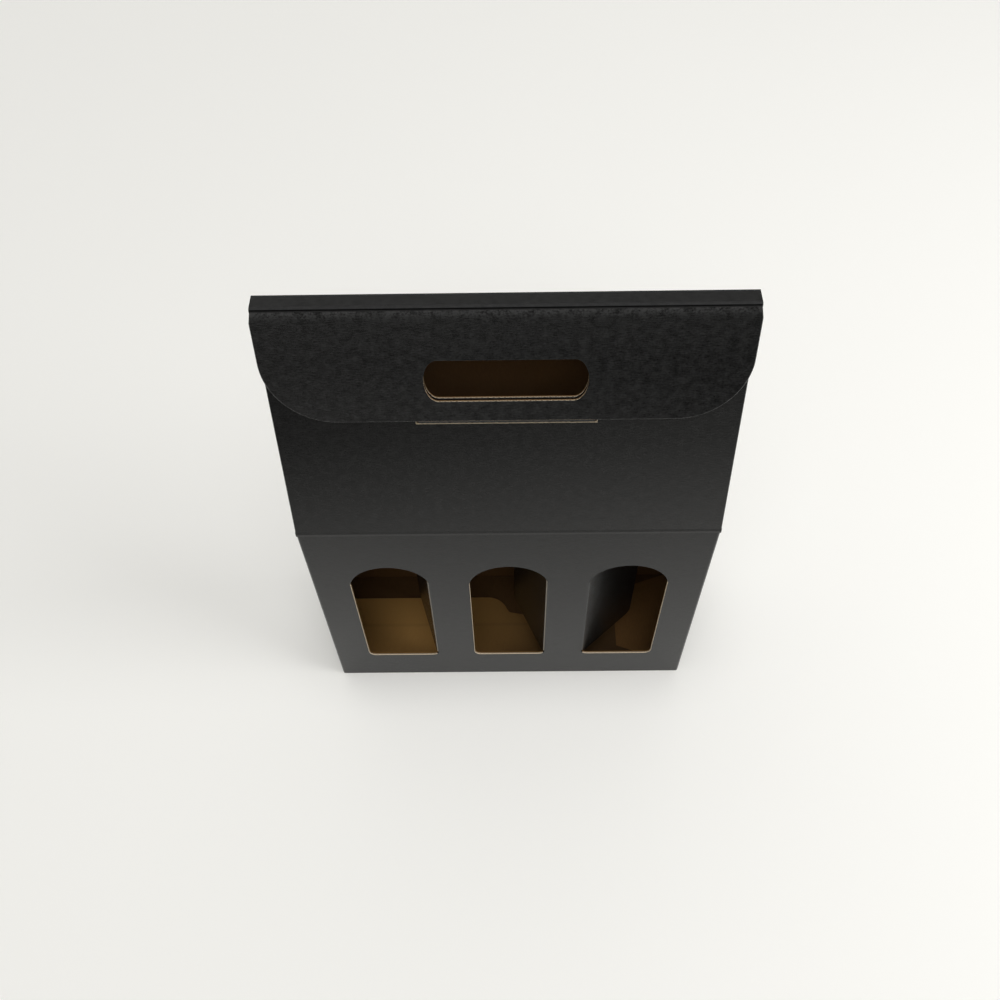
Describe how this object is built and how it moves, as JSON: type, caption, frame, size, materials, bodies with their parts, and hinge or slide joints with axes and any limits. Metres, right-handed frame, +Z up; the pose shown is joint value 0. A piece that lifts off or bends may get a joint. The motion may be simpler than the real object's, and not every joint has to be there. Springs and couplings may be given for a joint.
{
  "type": "wine box",
  "caption": "Folding carton for wine bottles with arched windows whose flaps divide the bottles, a gable top, a handle hole and a tuck-in lid.",
  "frame": {"origin": "on the floor under the middle of the box", "axes": "+Z up, -Y out of the windowed front, +X to the right as seen from the front"},
  "size_m": [0.273, 0.09, 0.37],
  "materials": {
    "black_board": "matt black printed liner on corrugated board",
    "kraft_board": "bare brown kraft liner"
  },
  "bodies": {
    "root": {"front_panel": "black_board", "back_panel": "black_board", "left_side_panel": "black_board", "right_side_panel": "black_board", "glue_flap": "kraft_board", "back_base_flap": "kraft_board", "left_base_flap": "kraft_board", "right_base_flap": "kraft_board", "front_base_flap": "kraft_board"},
    "front_slope": {"front_slope": "black_board"},
    "back_slope": {"back_slope": "black_board"},
    "ridge": {"ridge_strip": "black_board"},
    "lid": {"lid_flap": "black_board"},
    "tab": {"tuck_tab": "black_board"},
    "left_gusset": {"left_gusset": "black_board"},
    "right_gusset": {"right_gusset": "black_board"},
    "left_front_flank": {"left_front_gusset_flank": "black_board"},
    "right_front_flank": {"right_front_gusset_flank": "black_board"},
    "left_back_flank": {"left_back_gusset_flank": "black_board"},
    "right_back_flank": {"right_back_gusset_flank": "black_board"},
    "left_divider": {"left_divider": "black_board"},
    "middle_divider": {"middle_divider": "black_board"},
    "right_divider": {"right_divider": "black_board"}
  },
  "joints": [
    {"name": "back_slope_fold", "type": "hinge", "parent": "root", "child": "back_slope", "pos_m": [0, 0.045, 0.21], "axis": [-1, 0, 0], "range_deg": [0, 13]},
    {"name": "ridge_fold", "type": "hinge", "parent": "back_slope", "child": "ridge", "pos_m": [0, 0.0055, 0.37], "axis": [-1, 0, 0], "range_deg": [0, 75]},
    {"name": "lid_swing", "type": "hinge", "parent": "ridge", "child": "lid", "pos_m": [0, -0.0055, 0.37], "axis": [-1, 0, 0], "range_deg": [0, 110]},
    {"name": "tab_fold", "type": "hinge", "parent": "lid", "child": "tab", "pos_m": [0, -0.02273, 0.2973], "axis": [-1, 0, 0], "range_deg": [0, 40]},
    {"name": "front_slope_fold", "type": "hinge", "parent": "root", "child": "front_slope", "pos_m": [0, -0.045, 0.21], "axis": [1, 0, 0], "range_deg": [0, 13]},
    {"name": "left_gusset_fold", "type": "hinge", "parent": "root", "child": "left_gusset", "pos_m": [-0.135, 0, 0.21], "axis": [0, -1, 0], "range_deg": [0, 6]},
    {"name": "right_gusset_fold", "type": "hinge", "parent": "root", "child": "right_gusset", "pos_m": [0.135, 0, 0.21], "axis": [0, 1, 0], "range_deg": [0, 6]},
    {"name": "left_front_flank_fold", "type": "hinge", "parent": "front_slope", "child": "left_front_flank", "pos_m": [-0.135, -0.04161, 0.20912], "axis": [0, 0.2514, 0.9679], "range_deg": [0, 60]},
    {"name": "right_front_flank_fold", "type": "hinge", "parent": "front_slope", "child": "right_front_flank", "pos_m": [0.135, -0.04161, 0.20912], "axis": [0, -0.2514, -0.9679], "range_deg": [0, 60]},
    {"name": "left_back_flank_fold", "type": "hinge", "parent": "back_slope", "child": "left_back_flank", "pos_m": [-0.135, 0.0416, 0.20916], "axis": [0, 0.2397, -0.9709], "range_deg": [0, 60]},
    {"name": "right_back_flank_fold", "type": "hinge", "parent": "back_slope", "child": "right_back_flank", "pos_m": [0.135, 0.0416, 0.20916], "axis": [0, -0.2397, 0.9709], "range_deg": [0, 60]},
    {"name": "left_divider_swing", "type": "hinge", "parent": "root", "child": "left_divider", "pos_m": [-0.055, -0.0434, 0], "axis": [0, 0, 1], "range_deg": [-17, 73]},
    {"name": "middle_divider_swing", "type": "hinge", "parent": "root", "child": "middle_divider", "pos_m": [0.027, -0.0434, 0], "axis": [0, 0, 1], "range_deg": [-24, 66]},
    {"name": "right_divider_swing", "type": "hinge", "parent": "root", "child": "right_divider", "pos_m": [0.055, -0.0434, 0], "axis": [0, 0, -1], "range_deg": [-48, 42]}
  ],
  "couplings": [
    {"joint": "back_slope_fold", "follows": "lid_swing", "ratio": 0.118},
    {"joint": "front_slope_fold", "follows": "lid_swing", "ratio": 0.118},
    {"joint": "ridge_fold", "follows": "lid_swing", "ratio": 0.68},
    {"joint": "tab_fold", "follows": "lid_swing", "ratio": 0.36},
    {"joint": "left_gusset_fold", "follows": "lid_swing", "ratio": 0.054},
    {"joint": "right_gusset_fold", "follows": "lid_swing", "ratio": 0.054},
    {"joint": "left_front_flank_fold", "follows": "lid_swing", "ratio": 0.545},
    {"joint": "right_front_flank_fold", "follows": "lid_swing", "ratio": 0.545},
    {"joint": "left_back_flank_fold", "follows": "lid_swing", "ratio": 0.545},
    {"joint": "right_back_flank_fold", "follows": "lid_swing", "ratio": 0.545}
  ]
}
